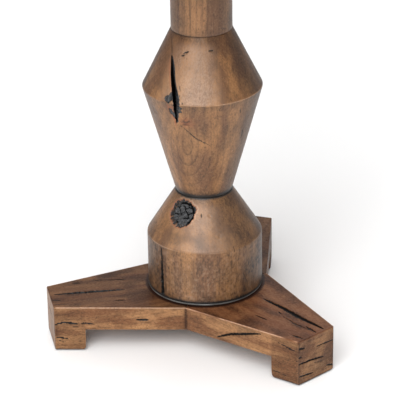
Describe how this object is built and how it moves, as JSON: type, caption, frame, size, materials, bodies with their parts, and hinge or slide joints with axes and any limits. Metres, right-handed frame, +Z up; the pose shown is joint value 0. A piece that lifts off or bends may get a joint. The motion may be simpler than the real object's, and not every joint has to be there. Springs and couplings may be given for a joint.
{
  "type": "tilt top table",
  "caption": "Pedestal table with a round plank top that tilts upright on a turned column, over a base of mitred legs with block feet.",
  "frame": {"origin": "on the floor, on the column's axis", "axes": "+Z up; +Y along the rear leg, over which the top hangs when upright; +X along the tilt axis, and the way the slide bolt shoots"},
  "size_m": [0.6598, 0.66, 0.711],
  "materials": {
    "base_wood": "satin wax over brown stain",
    "column_wood": "satin wax over brown stain",
    "head_wood": "thin satin wax",
    "top_wood": "satin wax over brown stain",
    "tongue_wood": "bare",
    "ebonised_wood": "satin",
    "felt": "matt",
    "black_steel": "matt black",
    "screw_steel": "dull",
    "zinc_steel": "dull zinc plate",
    "brass": "aged satin"
  },
  "bodies": {
    "pedestal": {"leg_rear": "base_wood", "leg_right": "base_wood", "leg_left": "base_wood", "mitre_tongues": "tongue_wood", "spider_plate": "black_steel", "spider_screws": "screw_steel", "foot_pad_rear": "felt", "foot_pad_right": "felt", "foot_pad_left": "felt", "foot_ring": "ebonised_wood", "drum": "column_wood", "baluster": "column_wood", "shaft": "column_wood", "tie_rod": "zinc_steel", "tie_rod_washers": "zinc_steel", "tie_rod_nuts": "zinc_steel", "head_block": "head_wood", "pivot_pin_left": "brass", "pivot_pin_right": "brass", "pivot_washers": "brass", "keeper": "brass", "keeper_screws": "brass"},
    "top": {"plank_1": "top_wood", "plank_2": "top_wood", "plank_3": "top_wood", "plank_4": "top_wood", "plank_5": "top_wood", "bearer_left": "head_wood", "bearer_right": "head_wood", "bearer_screws": "screw_steel", "pivot_bush_left": "brass", "pivot_bush_right": "brass", "bolt_case": "brass", "bolt_screws": "brass"},
    "slide_bolt": {"slide_rod": "brass", "slide_knob": "brass"}
  },
  "joints": [
    {"name": "tilt", "type": "hinge", "parent": "pedestal", "child": "top", "pos_m": [0, 0.066, 0.643], "axis": [-1, 0, 0], "range_deg": [0, 90]},
    {"name": "bolt_slide", "type": "slide", "parent": "top", "child": "slide_bolt", "axis": [1, 0, 0], "range_m": [0, 0.022]}
  ]
}
